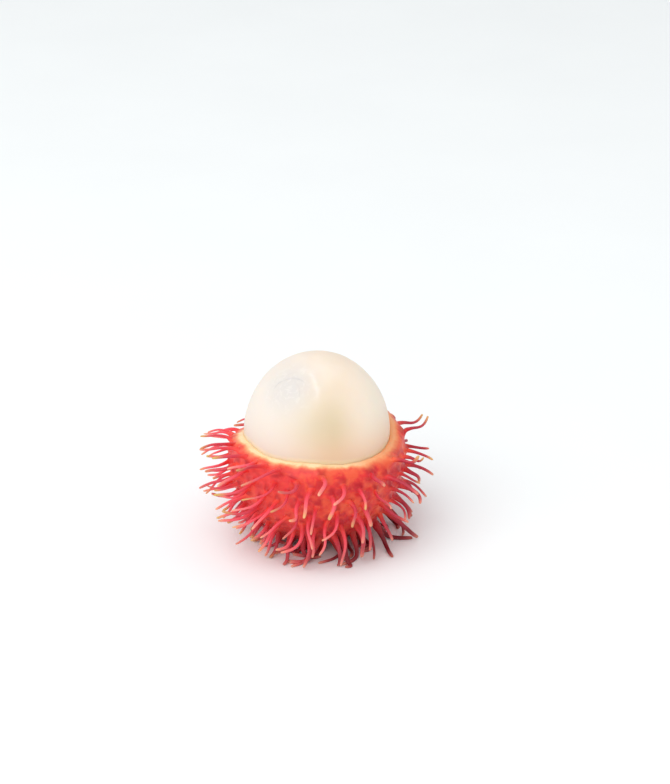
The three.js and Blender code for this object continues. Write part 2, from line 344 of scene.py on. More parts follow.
def spine_number(i):
    """Where hair number i grows from, which way, how long it is and how it bends."""
    level, heading = root_place(i)
    radius = rind_radius(level)
    azimuth = heading + ROOT_STRAY_ROUND * either(i, 2) / radius
    around = on_circle(1, azimuth, 0)
    sideways = Vector((-around.y, around.x, 0))
    level_root = around * radius + Vector((0, 0, level))
    out = (around + Vector((0, 0, min(skin_lean(level), STEEPEST)))).normalized()
    low = eased(level, *LOW)
    combed = COMBED_DOWN.lerp(COMBED_LEFT, eased(around.x, *LEFT) * (1 - low))
    combed += sideways * DROOP_STRAY * either(i, 3)
    high = eased(level, CURLING_FROM, SPINE_HIGHEST)
    curls = chance(i, 4) < CURLING_SHARE * high * eased(around.x, *RIGHT)
    habit = CURLING if curls else DROOPING
    limp = 1 if curls else 1 - STIFF_RIGHT * eased(around.x, *STIFF)
    hooked = 1 if curls else chance(i, 7) * limp * (1 - STIFF_LOW * low)
    tip_stray = sideways * TIP_STRAY * either(i, 9) + Vector((0, 0, TIP_STRAY * either(i, 10)))
    return {
        "number": i,
        "level_root": level_root,
        "root": Vector((level_root.x, level_root.y, lifted(level, azimuth))),
        "out": (out + sideways * LEAN_STRAY * either(i, 5)).normalized(),
        "droop": on_plane(combed, out),
        "bend": mix(*habit["bend"], chance(i, 6)) * limp,
        "sway": sideways * SWAY * either(i, 13) * (1 - STEADY_LOW * low),
        "tip": habit["tip"] + tip_stray,
        "hook": habit["hook"] * hooked,
        "length": usual_length(azimuth, low) * (1 + LENGTH_SPREAD * either(i, 8)),
        "curls": curls,
        "low": low,
    }


fringe = [spine_number(SPIRAL_COUNT + k) for k in range(FRINGE_COUNT)]


def has_room(spine):
    return all((spine["root"] - other["root"]).length > CROWDING for other in fringe)


spines = [s for s in map(spine_number, range(SPIRAL_COUNT)) if has_room(s)] + fringe
print("hairs with room to grow:", len(spines))
print("curling up:", sum(spine["curls"] for spine in spines))

# %% [markdown]
# ## A net of skin with a knot at each root
#
# The skin needs a vertex at every root, and a sphere's own grid has its vertices in the
# wrong places. But the roots all lie on a rounded shape, so their convex hull is a neat
# net of triangles with a knot at each root. A finer spiral fills the gaps between them, so
# that the triangles are about the same size everywhere, and rings of points for the torn
# rim and for the flat spot underneath close the net. The rim is level at first, because a
# hull would skip the low places of a wavy one.

# %% Points of the net
RIM_POINTS = 56
FILL_COUNT = 900
FILL_CLEAR = 1.9 * MM  # a filling point isn't this close to a root
FOOT_RINGS = ((6.9 * MM, 12), (4.3 * MM, 8), (1.6 * MM, 4))  # radius and points


def ring_of_points(bm, radius, z, count, turn=0.0):
    """Adds evenly spaced vertices on a level circle."""
    for k in range(count):
        bm.verts.new(on_circle(radius, 2 * math.pi * (k + turn) / count, z))


def filling_point(k):
    """The point number k of a spiral that covers the skin evenly."""
    level = root_height((k + 0.5) / FILL_COUNT)
    return on_circle(rind_radius(level), k * GOLDEN_ANGLE, level)


root_finder = KDTree(len(spines))
for place, spine in enumerate(spines):
    root_finder.insert(spine["level_root"], place)
root_finder.balance()

rind_bm = bmesh.new()
for spine in spines:
    rind_bm.verts.new(spine["level_root"])
for point in map(filling_point, range(FILL_COUNT)):
    if root_finder.find(point)[2] > FILL_CLEAR:
        rind_bm.verts.new(point)
ring_of_points(rind_bm, LIP_RADIUS, RIM_HEIGHT, RIM_POINTS)
for radius, count in FOOT_RINGS:
    depth = RIND_DEPTH * math.sqrt(1 - (radius / RIND_RADIUS) ** 2)
    ring_of_points(rind_bm, radius, RIND_WAIST - depth, count, turn=0.5)
print("points:", len(rind_bm.verts))

# %% Stretch the net over them and take off its lid
SAME_PLACE = 0.02 * MM  # closer than this is the same place

bmesh.ops.convex_hull(rind_bm, input=rind_bm.verts[:])
LID_HEIGHT = RIM_HEIGHT - SAME_PLACE
lid = [face for face in rind_bm.faces if all(v.co.z > LID_HEIGHT for v in face.verts)]
bmesh.ops.delete(rind_bm, geom=lid, context="FACES")
bmesh.ops.recalc_face_normals(rind_bm, faces=rind_bm.faces[:])
print("faces:", len(rind_bm.faces), "rim edges:", sum(e.is_boundary for e in rind_bm.edges))

# %% [markdown]
# ## From a net to a round skin
#
# Each triangle is split into four, and the new vertices are pushed out to the egg. Then
# a bevel cuts each knot off as a small polygon, the foot of the hair. One bevel for all
# would make every foot as small as the most crowded one has to be, so each knot gets its
# own. Growing the hair from a face of the skin, and not from a separate cone pushed into
# it, is what makes the two one living piece.

# %% Split the faces and round them
CUTS = 1


def onto_egg(point):
    """The point, moved in or out to the level-rimmed rind's outside."""
    across = math.hypot(point.x, point.y)
    if point.z >= RIND_WAIST:
        stretch = rind_radius(point.z) / across
        return Vector((point.x * stretch, point.y * stretch, point.z))
    down = point.z - RIND_WAIST
    stretch = 1 / math.hypot(across / RIND_RADIUS, down / RIND_DEPTH)
    return Vector((point.x * stretch, point.y * stretch, RIND_WAIST + down * stretch))


bmesh.ops.subdivide_edges(rind_bm, edges=rind_bm.edges[:], cuts=CUTS, use_grid_fill=True)
for vertex in rind_bm.verts:
    vertex.co = onto_egg(vertex.co)
print("faces:", len(rind_bm.faces))

# %% Cut the feet of the hairs
FOOT_RADIUS = 0.95 * MM
ROOM_TAKEN = 0.9  # the share of its shortest edge that a cut may take

owner = rind_bm.faces.layers.int.new("owner")  # which hair a growing tip belongs to
knots = [v for v in rind_bm.verts if root_finder.find(v.co)[2] < SAME_PLACE]
feet = {}
for knot in knots:
    place = root_finder.find(knot.co)[1]
    room = ROOM_TAKEN * min(edge.calc_length() for edge in knot.link_edges)
    cut = bmesh.ops.bevel(
        rind_bm, geom=[knot], offset=min(FOOT_RADIUS, room), offset_type="OFFSET",
        segments=1, profile=0.5, affect="VERTICES", clamp_overlap=False, material=-1,
    )
    feet[place] = cut["faces"][0]
foot_sizes = [math.sqrt(face.calc_area() / math.pi) for face in feet.values()]
print("knots:", len(knots), "feet:", len(feet))
show_mm("feet's radii from and to", min(foot_sizes), max(foot_sizes))

# %% [markdown]
# ## The torn lip and the white inside
#
# Where the rind was torn, its cream inner layer shows as a thin lip, and it goes on down
# inside as a smooth bowl that the flesh stands in. A Solidify modifier would make the
# wall as thick at the lip as it is lower down. So the rim's own edge is extruded again
# and again, and each new ring is scaled and moved to the next place on the bowl's
# profile. Just under the lip, the profile presses into the flesh, so that no gap shows.

# %% The bowl's profile, from the lip to the bottom
LIP_CROWN = 0.1 * MM  # how far the lip's middle stands above its outer edge
LIP_PRESS = 0.35 * MM  # how far the lip presses into the soft flesh
BOWL_DEPTH = ARIL_DEPTH + GAP
BOWL_START = 0.16  # the polar angle at which the bowl proper begins, just under the lip
BOWL_END = 0.97 * math.pi / 2  # where it ends, just off the axis
BOWL_STEPS = 8


def bowl_point(angle):
    """Radius and height on the bowl, at a polar angle from its widest ring."""
    share = math.sin(angle)
    radius = rounded_radius(ARIL_RADIUS + GAP, share, ARIL_FULLNESS)
    return radius, ARIL_WAIST - BOWL_DEPTH * share


bowl_profile = [  # radius and height of each ring
    (LIP_RADIUS - 0.2 * LIP, RIM_HEIGHT + 0.8 * LIP_CROWN),
    (LIP_RADIUS - 0.5 * LIP, RIM_HEIGHT + LIP_CROWN),
    (ARIL_RADIUS + 0.06 * MM, RIM_HEIGHT - 0.02 * MM),  # against the flesh
    (ARIL_RADIUS - 0.3 * LIP_PRESS, RIM_HEIGHT - 0.2 * MM),
    (ARIL_RADIUS - LIP_PRESS, RIM_HEIGHT - 0.6 * MM),  # deepest in it
    (ARIL_RADIUS, RIM_HEIGHT - 1.2 * MM),
]
bowl_profile += [
    bowl_point(mix(BOWL_START, BOWL_END, k / BOWL_STEPS)) for k in range(BOWL_STEPS + 1)
]
print("steps from the lip to the bottom:", len(bowl_profile))

# %% Notes that each vertex carries for the finish
along = rind_bm.verts.layers.float.new("along")  # 0 on the skin to 1 at a hair's tip
axil = rind_bm.verts.layers.float.new("axil")  # 1 in the pit over a root, 0 away from it
from_rim = rind_bm.verts.layers.float.new("from_rim")  # mm from the edge, below 0 inside
hair = rind_bm.verts.layers.float.new("hair")  # the hair's own chance value
green_tip = rind_bm.verts.layers.float.new("green_tip")  # how green the hair's tip is
print("notes:", len(rind_bm.verts.layers.float))

# %% Extrude the rim inwards and down
skin_verts = rind_bm.verts[:]
ring_edges = [edge for edge in rind_bm.edges if edge.is_boundary]
ring_radius, ring_height = LIP_RADIUS, RIM_HEIGHT
for radius, height in bowl_profile:
    grown = bmesh.ops.extrude_edge_only(rind_bm, edges=ring_edges)["geom"]
    ring_verts = [part for part in grown if isinstance(part, bmesh.types.BMVert)]
    ring_edges = [
        part for part in grown if isinstance(part, bmesh.types.BMEdge) and part.is_boundary
    ]
    narrower = radius / ring_radius
    bmesh.ops.scale(rind_bm, vec=(narrower, narrower, 1), verts=ring_verts)
    bmesh.ops.translate(rind_bm, vec=(0, 0, height - ring_height), verts=ring_verts)
    ring_radius, ring_height = radius, height
bmesh.ops.pointmerge(rind_bm, verts=ring_verts, merge_co=(0, 0, ring_height))
print("open edges left:", sum(edge.is_boundary for edge in rind_bm.edges))

# %% [markdown]
# ## Lumps and the torn edge
#
# A rambutan's skin swells round the root of each hair and sags a little in between, and
# its torn edge is slightly ragged. A texture could fake that with a bump, but the outline
# would stay smooth, so the vertices themselves are moved: outwards round each root and by
# a soft noise, and then up or down by the rim's waves. How far a vertex is from the rim
# and from a root is noted first, while the rim is still level.

# %% Measure the skin for its notes
AXIL_RISE = 1.0 * MM  # how far over its root a hair's pit lies
AXIL_WIDTH = 1.7 * MM

is_skin = set(skin_verts)
for vertex in rind_bm.verts:
    across = math.hypot(vertex.co.x, vertex.co.y)
    from_edge = math.hypot(RIM_HEIGHT - vertex.co.z, across - LIP_RADIUS) / MM
    if vertex in is_skin:
        away = root_finder.find(vertex.co - Vector((0, 0, AXIL_RISE)))[2]
        vertex[axil] = 1 - smooth(away / AXIL_WIDTH)
        vertex[from_rim] = from_edge
    else:
        vertex[from_rim] = -from_edge
print("skin vertices:", len(skin_verts), "of", len(rind_bm.verts))

# %% Swell the skin round the roots
SWELLING = 2.6 * MM  # how far the skin would stand out at the middle of a root
SWELLING_WIDTH = 0.85 * MM
LUMPS = ((0.22 * MM, 4.6 * MM), (0.09 * MM, 1.7 * MM))  # height and width of each noise
SWELLS_FROM = 3 * MM  # height over which the swelling grows from nothing
SWELLS_BELOW = 1.2 * MM  # depth under the rim over which it does


def egg_normal(point, radius, waist, depth):
    """The way out of an egg at a point on it."""
    up = (point.z - waist) / depth**2
    return Vector((point.x / radius**2, point.y / radius**2, up)).normalized()


def lumps(point, sizes):
    """How far soft noises of several sizes move a point out."""
    return sum(size * noise.noise(point / width) for size, width in sizes)


def swollen(point):
    """A point of the skin, moved out round the roots and by the lumps."""
    away = root_finder.find(point)[2]
    high = SWELLING * math.exp(-away / SWELLING_WIDTH) + lumps(point, LUMPS)
    ease = smooth(point.z / SWELLS_FROM) * smooth((RIM_HEIGHT - point.z) / SWELLS_BELOW)
    return point + egg_normal(point, RIND_RADIUS, RIND_WAIST, RIND_DEPTH) * high * ease


for vertex in skin_verts:
    vertex.co = swollen(vertex.co)
lift = SWELLING * math.exp(-2 * MM / SWELLING_WIDTH)
show_mm("skin 2 mm from a root is lifted by", lift)

# %% Lift the rim and make it ragged
RAGGED = 0.24 * MM
RAGGED_WIDTH = 2.3 * MM
RAGGED_DEPTH = 1.5 * MM  # how far down from the edge its raggedness reaches


def torn(point):
    """A point near the level rim, moved to where the ragged, wavy rim has it."""
    azimuth = math.atan2(point.y, point.x)
    near_edge = eased(point.z, RIM_HEIGHT - RAGGED_DEPTH, RIM_HEIGHT)
    jag = RAGGED * noise.noise(Vector((point.x, point.y, 0)) / RAGGED_WIDTH)
    return Vector((point.x, point.y, lifted(point.z, azimuth) + jag * near_edge))


for vertex in rind_bm.verts:
    vertex.co = torn(vertex.co)
    vertex.co.z = max(0, vertex.co.z)
show_mm("highest point of the lip", max(v.co.z for v in rind_bm.verts))

# %% [markdown]
# ## Growing the hairs
#
# A hair leaves the skin at right angles, bends under its weight or curls up, and thins
# from a fleshy root to a blunt tip. Blender's hair curves would be quicker, but they are
# a separate thing that can't be cut, weighed or printed. Here each foot is extruded step
# by step along its course. Every step is one matrix that moves the foot's face, turns it
# to the course and scales it.

# %% The course that a hair follows
SPINE_ROOT_RADIUS = 1.05 * MM
SPINE_TIP_RADIUS = 0.38 * MM
TAPER = 3.5  # how fast a hair thins from its root, where 1 is a plain cone
SPINE_SINK = 0.5 * MM  # how deep a hair's course starts under the skin
PATH_STEPS = 12
HOOKS_FROM = 0.5  # the share of its length after which a hair hooks
TABLE_EASE = 2.6 * MM  # height over the table in which a sinking hair turns level
TABLE_BITE = 0.12 * MM  # how far it may sink in, where it is pressed flat in the end


def spine_radius(t):
    """A hair's usual radius at a share of its length."""
    return SPINE_TIP_RADIUS + (SPINE_ROOT_RADIUS - SPINE_TIP_RADIUS) * (1 - t) ** TAPER


def spine_course(spine):
    """Points from under the skin to the tip: out, drooping, hooked, level on the table."""
    points = [spine["root"] - spine["out"] * SPINE_SINK]
    step = (spine["length"] + SPINE_SINK) / PATH_STEPS
    for k in range(1, PATH_STEPS + 1):
        t = (k - 0.5) / PATH_STEPS
        angle = spine["bend"] * t
        way = spine["out"] * math.cos(angle) + spine["droop"] * math.sin(angle)
        way += spine["sway"] * math.sin(2 * math.pi * t)
        way = (way + spine["tip"] * spine["hook"] * eased(t, HOOKS_FROM, 1)).normalized()
        room = points[-1].z - spine_radius(t) + TABLE_BITE
        way.z = max(way.z, -room / TABLE_EASE)
        points.append(points[-1] + way.normalized() * step)
    return points


courses = [spine_course(spine) for spine in spines]
show_mm("lowest course", min(p.z for course in courses for p in course))

# %% Places of the rings along a hair
RING_PLACES = (0.19, 0.26, 0.35, 0.45, 0.55, 0.66, 0.77, 0.88, 0.975, 1)
BLUNT = {0.975: 0.85, 1: 0.45}  # how much the last rings narrow to round the tip
FILL_OUT = 1.13  # makes up for what smoothing takes off a thin tube
THICKNESS_SPREAD = 0.16
THICKER_RIGHT = 0.12  # how much thicker the hairs are at +X
THICKER_LOW = 0.22  # how much thicker the lowest ones are
LOOK_ROUND = 0.04  # how far before and after it a ring looks to find its direction
TURNING_RINGS = 3  # the rings in which a hair turns from its foot's way to its course's


def place_on(course, t):
    """The point at a share of the course's length."""
    k = min(int(t * PATH_STEPS), PATH_STEPS - 1)
    return course[k].lerp(course[k + 1], t * PATH_STEPS - k)


def rings_of(spine, course, foot):
    """Centre, direction and radius of each ring, starting with the foot itself."""
    centre = foot.calc_center_median()
    radius = sum((v.co - centre).length for v in foot.verts) / len(foot.verts)
    rings = [(centre, foot.normal.copy(), radius)]
    thickness = FILL_OUT * (1 + THICKNESS_SPREAD * either(spine["number"], 9))
    thickness *= 1 + THICKER_RIGHT * spine["root"].x / RIND_RADIUS + THICKER_LOW * spine["low"]
    for k, t in enumerate(RING_PLACES):
        ahead = place_on(course, min(1, t + LOOK_ROUND)) - place_on(course, t - LOOK_ROUND)
        share = min(1, (k + 1) / TURNING_RINGS)
        turned = foot.normal.lerp(ahead.normalized(), share).normalized()
        size = spine_radius(t) * thickness * BLUNT.get(t, 1)
        rings.append((place_on(course, t), turned, size))
    return rings


foot_rings = {
    place: rings_of(spines[place], courses[place], foot) for place, foot in feet.items()
}
print("rings on a hair:", len(RING_PLACES))

# %% One step along a hair
FLATTENED = 0.82  # a hair's thickness as a share of its width


def ring_step(before, after):
    """The matrix that takes one ring to the next."""
    turn = before[1].rotation_difference(after[1]).to_matrix().to_4x4()
    grow = Matrix.Scale(after[2] / before[2], 4)
    return Matrix.Translation(after[0]) @ turn @ grow @ Matrix.Translation(-before[0])


def flattening(ring, number):
    """The matrix that flattens a ring across a direction chosen by chance."""
    normal = ring[1]
    across = normal.orthogonal().normalized()
    across.rotate(Matrix.Rotation(math.pi * chance(number, 10), 3, normal))
    squeeze = Matrix.Scale(FLATTENED, 4, across)
    return Matrix.Translation(ring[0]) @ squeeze @ Matrix.Translation(-ring[0])


show_mm("the first hair's radii", *(ring[2] for ring in foot_rings[0]))

# %% How green a hair's tip is
CURL_GREEN = 0.6
GREEN_HEIGHTS = (12 * MM, 22 * MM)  # from where to where up the cup tips get greener


def greenness(spine):
    """Tips at the left and near the rim are the greenest, and so are the curling ones."""
    if spine["curls"]:
        return CURL_GREEN
    place = spine["level_root"]
    greenest = max(eased(-place.x, 0, RIND_RADIUS), eased(place.z, *GREEN_HEIGHTS))
    return chance(spine["number"], 11) ** 2 * greenest


print("greenest tip:", round(max(greenness(spine) for spine in spines), 2))

# %% Extrude every foot along its course
FAR_FROM_RIM = 10  # mm, so that the rim's colours stay off the hairs

tips = feet
for k, t in enumerate(RING_PLACES):
    for place, face in tips.items():
        face[owner] = place
    grown = bmesh.ops.extrude_discrete_faces(rind_bm, faces=list(tips.values()))
    tips = {face[owner]: face for face in grown["faces"]}
    for place, face in tips.items():
        rings = foot_rings[place]
        number = spines[place]["number"]
        step = ring_step(rings[k], rings[k + 1])
        if k == 0:
            step = flattening(rings[1], number) @ step
        for vertex in face.verts:
            vertex.co = step @ vertex.co
            vertex[along] = t
            vertex[axil] = 0
            vertex[from_rim] = FAR_FROM_RIM
            vertex[hair] = chance(number, 12)
            vertex[green_tip] = greenness(spines[place])
print("faces with the hairs:", len(rind_bm.faces))

# %% Lay it on the table and hand it over
for vertex in rind_bm.verts:
    vertex.co.z = max(0, vertex.co.z)


def finished_piece(name, bm, smoothing=0):
    """A smooth-shaded object made from a bmesh, with its place in its mesh."""
    for face in bm.faces:
        face.smooth = True
    mesh = bpy.data.meshes.new(name)
    bm.to_mesh(mesh)
    bm.free()
    piece = bpy.data.objects.new(name, mesh)
    bpy.context.scene.collection.objects.link(piece)
    if smoothing:
        rounding = piece.modifiers.new("rounding", "SUBSURF")
        rounding.levels = rounding.render_levels = smoothing
    return piece


rind = finished_piece("spiny_rind", rind_bm, smoothing=1)
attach(rind, "root")
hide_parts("rind")
print("rind's own faces before rounding:", len(rind.data.polygons))

# %% [markdown]
# ## The aril
#
# The flesh is a smooth egg, milky and a little see-through. A sphere made of triangles has
# even faces and no poles, so it takes small dents well. Its points are moved onto the
# egg's outline: an ellipse above the widest ring, and a slightly blunter end inside the
# cup. A real one isn't perfect, so a very soft noise takes the lathe-turned look away.

# %% Shape the egg
ARIL_DETAIL = 6


def onto_aril(direction):
    """The point of the aril's surface that a point of a unit sphere goes to."""
    across = math.hypot(direction.x, direction.y)
    if direction.z >= 0:
        return Vector((*(ARIL_RADIUS * direction.xy), ARIL_WAIST + ARIL_RISE * direction.z))
    power = 2 / ARIL_FULLNESS
    wide = ARIL_RADIUS * across ** (power - 1) if across > 0 else 0
    return Vector((*(wide * direction.xy), ARIL_WAIST - ARIL_DEPTH * (-direction.z) ** power))


aril_bm = bmesh.new()
crease = aril_bm.verts.layers.float.new("crease")  # 1 in the middle of a crease
fold = aril_bm.verts.layers.float.new("fold")  # 1 on the back of a fold
above_lip = aril_bm.verts.layers.float.new("above_lip")  # mm above the torn rim
bmesh.ops.create_icosphere(aril_bm, subdivisions=ARIL_DETAIL, radius=1)
for vertex in aril_bm.verts:
    vertex.co = onto_aril(vertex.co.normalized())
print("faces:", len(aril_bm.faces))

# %% [markdown]
# ### The wrinkles
#
# High on the front left, a patch of the flesh has dried a little. Three very fine creases
# bend round it, and a soft fold lies outside them. They are real dents and a real
# swelling, so the patch's edges are split for smaller faces first, and then its points
# are moved along thin, wandering arcs round the patch's middle. Their finish paints shade
# into the creases and a highlight along the fold.

# %% The arcs of the wrinkles
WRINKLES_AT = Vector((-6.6 * MM, -9.7 * MM, ARIL_WAIST + 13.9 * MM))
# Each arc: how far from the middle, its two ends in degrees, and half its width
CREASES = (
    (4.4 * MM, 20, 165, 0.15 * MM),
    (2.9 * MM, -40, 60, 0.14 * MM),
    (5.5 * MM, 60, 115, 0.14 * MM),
)
FOLD = (6.7 * MM, -40, 85, 0.8 * MM)
ARC_FADE = 40  # degrees in which an arc fades at either end
WANDER, WANDER_WIDTH = 0.7 * MM, 2.8 * MM  # how far an arc strays, and in what length
FAINTEST, FAINT_WIDTH = 0.7, 1.4 * MM  # how faint it gets in places, and how long they are
CONTRAST = 1.2  # how sharply the faint places begin


def aril_normal(point):
    """The way out of the flesh at a point on it."""
    depth = ARIL_RISE if point.z > ARIL_WAIST else ARIL_DEPTH
    return egg_normal(point, ARIL_RADIUS, ARIL_WAIST, depth)


rightward = on_plane(Vector((1, 0, 0)), aril_normal(WRINKLES_AT))
upward = aril_normal(WRINKLES_AT).cross(rightward)


def on_arc(point, arc):
    """1 on an arc round the patch's middle, to 0 beside it and past its ends."""
    away, start, end, half_width = arc
    offset = point - WRINKLES_AT
    turn = math.degrees(math.atan2(offset.dot(upward), offset.dot(rightward)))
    wander = WANDER * noise.noise(point / WANDER_WIDTH)
    line = math.exp(-(((offset.length - away - wander) / half_width) ** 2))
    line *= smooth((turn - start) / ARC_FADE) * smooth((end - turn) / ARC_FADE)
    clear = smooth(0.5 + CONTRAST * noise.noise(point / FAINT_WIDTH))
    return line * mix(1, clear, FAINTEST)


show_mm("the arcs bend round", *WRINKLES_AT)

# %% Refine the patch
PATCH_REACH = 8.2 * MM
PATCH_CUTS = 3

patch = [
    edge
    for edge in aril_bm.edges
    if all((v.co - WRINKLES_AT).length < PATCH_REACH for v in edge.verts)
]
bmesh.ops.subdivide_edges(aril_bm, edges=patch, cuts=PATCH_CUTS, use_grid_fill=True)
print("faces with the patch:", len(aril_bm.faces))

# %% Move the egg's points by its lumps and wrinkles
ARIL_LUMPS = ((0.16 * MM, 11 * MM), (0.05 * MM, 4 * MM))  # height and width of each noise
SETTING_IN = 3  # how quickly the lumps set in from either end
CREASE_DEPTH = 0.07 * MM
FOLD_HEIGHT = 0.06 * MM

for vertex in aril_bm.verts:
    point = vertex.co.copy()
    # The ends keep their place, so that the egg stays as high and as wide as its solid.
    from_end = 1 - abs(point.z - ARIL_WAIST) / ARIL_DEPTH
    vertex[crease] = max(on_arc(point, arc) for arc in CREASES)
    vertex[fold] = on_arc(point, FOLD)
    lip_height = RIM_HEIGHT + rim_lift(math.atan2(point.y, point.x))
    vertex[above_lip] = (point.z - lip_height) / MM
    outward = FOLD_HEIGHT * vertex[fold] - CREASE_DEPTH * vertex[crease]
    lump = lumps(point, ARIL_LUMPS) * smooth(SETTING_IN * from_end)
    vertex.co = point + aril_normal(point) * (lump + outward)
print("deepest crease, as a share:", round(max(v[crease] for v in aril_bm.verts), 2))

# %% Hand the aril over
aril = finished_piece("white_aril", aril_bm)
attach(aril, "root")
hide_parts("aril")
print("aril's faces:", len(aril.data.polygons))

# %% [markdown]
# ## Finishes
#
# Colours are easier to choose as the numbers that a paint chart gives, from 0 to 255, but
# Blender's sockets take linear light, so a helper converts them. Small helpers for the
# nodes that come again and again keep the recipes below short enough to read. The one
# used most is a coat: a colour laid over what is there, by a share that says where on the
# fruit the coat is thick or thin.

# %% Colours from a paint chart


def paint(red, green, blue):
    """A colour from a paint chart's numbers, as the linear light that sockets take."""
    shares = [value / 255 for value in (red, green, blue)]
    linear = [s / 12.92 if s < 0.04045 else ((s + 0.055) / 1.055) ** 2.4 for s in shares]
    return (*linear, 1)


print("a middle grey in linear light:", [round(c, 3) for c in paint(128, 128, 128)])

# %% A recipe for a finish


class Recipe:
    """A material with a Principled shader, and short ways to add nodes to it."""

    def __init__(self, name):
        self.material = bpy.data.materials.new(name)
        self.material.use_nodes = True
        self.tree = self.material.node_tree
        self.place = self.node("TexCoord").outputs["Object"]
        apart = self.node("SeparateXYZ", Vector=self.place)
        self.across, _, self.height = apart.outputs

    def wire(self, value, socket):
        """Links an output to a socket, or sets the socket to a plain value."""
        if isinstance(value, bpy.types.NodeSocket):
            self.tree.links.new(value, socket)
        else:
            socket.default_value = value

    def node(self, kind, **sockets):
        """A new node with some of its sockets wired by name."""
        node = self.tree.nodes.new("ShaderNode" + kind)
        for name, value in sockets.items():
            self.wire(value, node.inputs[name])
        return node

    def surface(self, sockets):
        """Wires the shader's own sockets by name."""
        for name, value in sockets.items():
            self.wire(value, self.tree.nodes["Principled BSDF"].inputs[name])

    def noise(self, size, detail=3, rough=0.5, twist=0, stretch=None):
        """A noise whose blotches are about so many millimetres across, from 0 to 1."""
        place = self.place
        if stretch:
            place = self.node("Mapping", Vector=place, Scale=stretch).outputs["Vector"]
        return self.node(
            "TexNoise", Vector=place, Scale=1 / (size * MM),
            Detail=detail, Roughness=rough, Distortion=twist,
        ).outputs["Fac"]

    def from_dots(self, spacing):
        """How far the surface is from the nearest of many scattered dots, in spacings."""
        dots = self.node("TexVoronoi", Vector=self.place, Scale=1 / (spacing * MM))
        return dots.outputs["Distance"]

    def note(self, name):
        """A number that the mesh carries at each vertex."""
        node = self.node("Attribute")
        node.attribute_name = name
        return node.outputs["Fac"]

    def ramp(self, value, *stops):
        """Colours along a value: each stop is a position and a colour."""
        node = self.node("ValToRGB", Fac=value)
        points = node.color_ramp.elements
        while len(points) < len(stops):
            points.new(0.5)
        for point, (position, colour) in zip(points, stops):
            point.position = position
            point.color = colour
        return node.outputs["Color"]

    def span(self, value, start, end, at_start=0.0, at_end=1.0):
        """Eases from one number to another while a value goes from its start to its end."""
        node = self.node("MapRange", Value=value)
        node.interpolation_type = "SMOOTHSTEP"
        numbers = (start, end, at_start, at_end)
        for name, number in zip(("From Min", "From Max", "To Min", "To Max"), numbers):
            node.inputs[name].default_value = number
        return node.outputs["Result"]

    def maths(self, operation, first, second, kind="Math"):
        """Two values put together by a sum, a product or the like."""
        node = self.node(kind)
        node.operation = operation
        self.wire(first, node.inputs[0])
        self.wire(second, node.inputs[1])
        return node.outputs["Value"]

    def from_point(self, point):
        """How far the surface is from a point, in metres."""
        return self.maths("DISTANCE", self.place, point, kind="VectorMath")

    def times(self, share, *others):
        """The product of several shares."""
        for other in others:
            share = self.maths("MULTIPLY", share, other)
        return share

    def mix(self, share, under, over):
        """One colour over another, by a share from 0 to 1."""
        node = self.node("Mix")
        node.data_type = "RGBA"
        self.wire(share, node.inputs["Factor"])
        self.wire(under, node.inputs[6])
        self.wire(over, node.inputs[7])
        return node.outputs[2]

    def coats(self, colour, *layers):
        """A colour with coats laid over it: each is a share and the coat's colour."""
        for share, over in layers:
            colour = self.mix(share, colour, over)
        return colour

    def bump(self, height, distance, strength, under=None):
        """A fine relief so many millimetres high."""
        node = self.node("Bump", Height=height, Distance=distance * MM, Strength=strength)
        if under is not None:
            self.wire(under, node.inputs["Normal"])
        return node.outputs["Normal"]


print("helpers:", [name for name in vars(Recipe) if not name.startswith("_")])

# %% [markdown]
# ### The rind's finish
#
# A ripe rind is not one red. The skin is mottled orange and red, a crimson pit of painted
# shade lies over each hair's root, and the torn edge fades through orange to cream. The
# skin is painted lighter and pinker on the lamp's side, the left, and darker low down as
# shade. The hairs run from crimson to pink, with pale or yellow-green tips, and are painted
# darker low down and on the right as shade. One picture texture could hold it all, but its
# seams would show. The mesh carries how far each vertex is from the rim, from a pit and
# along a hair, so the colours follow the shape. Only the mottling and some crimson dots
# come from textures. A little light passes into the skin, which makes the thin hairs glow.

# %% Mix the skin's colours
ORANGE = paint(240, 90, 60)
RED = paint(230, 56, 52)
DEEP_RED = paint(208, 34, 46)
FLECK = paint(246, 116, 64)
LIT_SIDE_PINK = paint(252, 78, 72)
CRIMSON = paint(180, 16, 34)
UNDERSIDE_SHADE = paint(150, 16, 28)

peel = Recipe("mottled_rind")
blotches = peel.noise(4.2, rough=0.55, twist=0.4)
skin_colour = peel.ramp(blotches, (0.38, DEEP_RED), (0.5, RED), (0.62, ORANGE))
flecks = peel.span(peel.noise(1.3, rough=0.55), 0.5, 0.72, at_end=0.35)
lit_left = peel.span(peel.across, 2 * MM, -12 * MM, at_end=0.5)
pit_shade = peel.span(peel.note("axil"), 0.1, 0.8, at_end=0.75)
dots = peel.span(peel.from_dots(3.0), 0.46, 0.08, at_end=0.4)
shade_low_down = peel.span(peel.height, 14 * MM, 2 * MM, at_end=0.6)
skin_colour = peel.coats(
    skin_colour,
    (flecks, FLECK),
    # painted light: the skin on the lamp's side, the left, is painted lighter and pinker
    (lit_left, LIT_SIDE_PINK),
    # painted shade in the pit over each hair's root
    (pit_shade, CRIMSON),
    (dots, CRIMSON),
    # painted shade: the skin darkens towards the table
    (shade_low_down, UNDERSIDE_SHADE),
)
print("nodes so far:", len(peel.tree.nodes))

# %% Fade the skin to cream at the torn edge
EDGE_COLOURS = (
    (0.0, paint(254, 214, 160)),
    (0.12, paint(252, 220, 180)),
    (0.26, paint(253, 216, 168)),
    (0.4, paint(251, 176, 124)),
    (0.66, paint(243, 104, 76)),
)
SUNNY_EDGE = paint(244, 150, 96)  # the edge is more orange on the right
RIM_FADE = 3.6  # mm over which the rim's colours change
FADE_INSIDE = 1.0  # mm of them that are inside the edge

